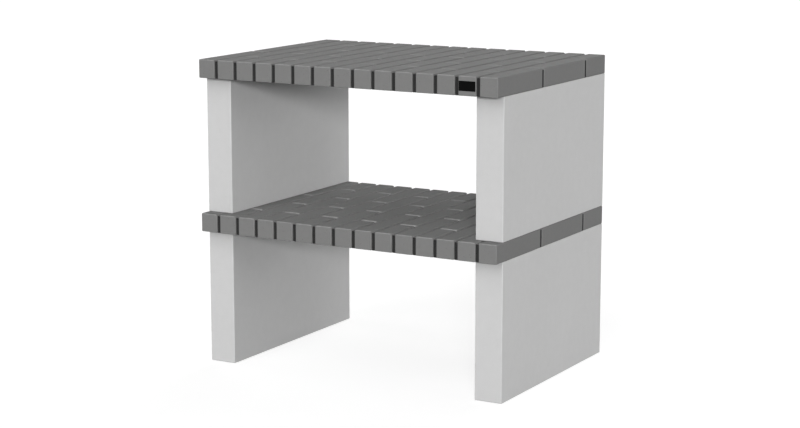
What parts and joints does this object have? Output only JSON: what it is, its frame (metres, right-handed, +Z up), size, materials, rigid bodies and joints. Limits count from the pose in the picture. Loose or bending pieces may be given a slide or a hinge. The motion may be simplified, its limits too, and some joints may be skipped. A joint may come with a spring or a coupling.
{
  "type": "modular barbecue station",
  "caption": "Free-standing outdoor barbecue station: a worktop and a lower shelf of cast blocks in running bond with raked dark joints, stacked on pale wall panels.",
  "frame": {"origin": "on the floor, below the middle of the decks", "axes": "+X to the right along the front, +Y from the front to the back, +Z up"},
  "size_m": [0.89, 0.6412, 0.83],
  "materials": {
    "wall": "smooth cast concrete, pale grey",
    "block": "fine cast stone, dark grey",
    "mortar": "raked mortar, almost black",
    "galvanised_steel": "galvanised",
    "plate": "satin black"
  },
  "bodies": {
    "root": {"lower_left_wall": "wall", "lower_right_wall": "wall", "upper_left_wall": "wall", "upper_right_wall": "wall", "shelf_course_01": "block", "shelf_course_02": "block", "shelf_course_03": "block", "shelf_course_04": "block", "shelf_course_05": "block", "shelf_course_06": "block", "shelf_course_07": "block", "shelf_course_08": "block", "shelf_course_09": "block", "shelf_course_10": "block", "shelf_course_11": "block", "shelf_course_12": "block", "shelf_course_13": "block", "shelf_course_14": "block", "shelf_course_15": "block", "worktop_course_01": "block", "worktop_course_02": "block", "worktop_course_03": "block", "worktop_course_04": "block", "worktop_course_05": "block", "worktop_course_06": "block", "worktop_course_07": "block", "worktop_course_08": "block", "worktop_course_09": "block", "worktop_course_10": "block", "worktop_course_11": "block", "worktop_course_12": "block", "worktop_course_13": "block", "worktop_course_14": "block", "worktop_course_15": "block", "shelf_mortar": "mortar", "worktop_mortar": "mortar", "shelf_bar_1": "galvanised_steel", "shelf_bar_2": "galvanised_steel", "shelf_bar_3": "galvanised_steel", "shelf_bar_4": "galvanised_steel", "shelf_bar_5": "galvanised_steel", "worktop_bar_1": "galvanised_steel", "worktop_bar_2": "galvanised_steel", "worktop_bar_3": "galvanised_steel", "worktop_bar_4": "galvanised_steel", "worktop_bar_5": "galvanised_steel", "shelf_lower_keys": "galvanised_steel", "shelf_upper_keys": "galvanised_steel", "worktop_keys": "galvanised_steel", "front_plate": "plate"}
  },
  "joints": []
}
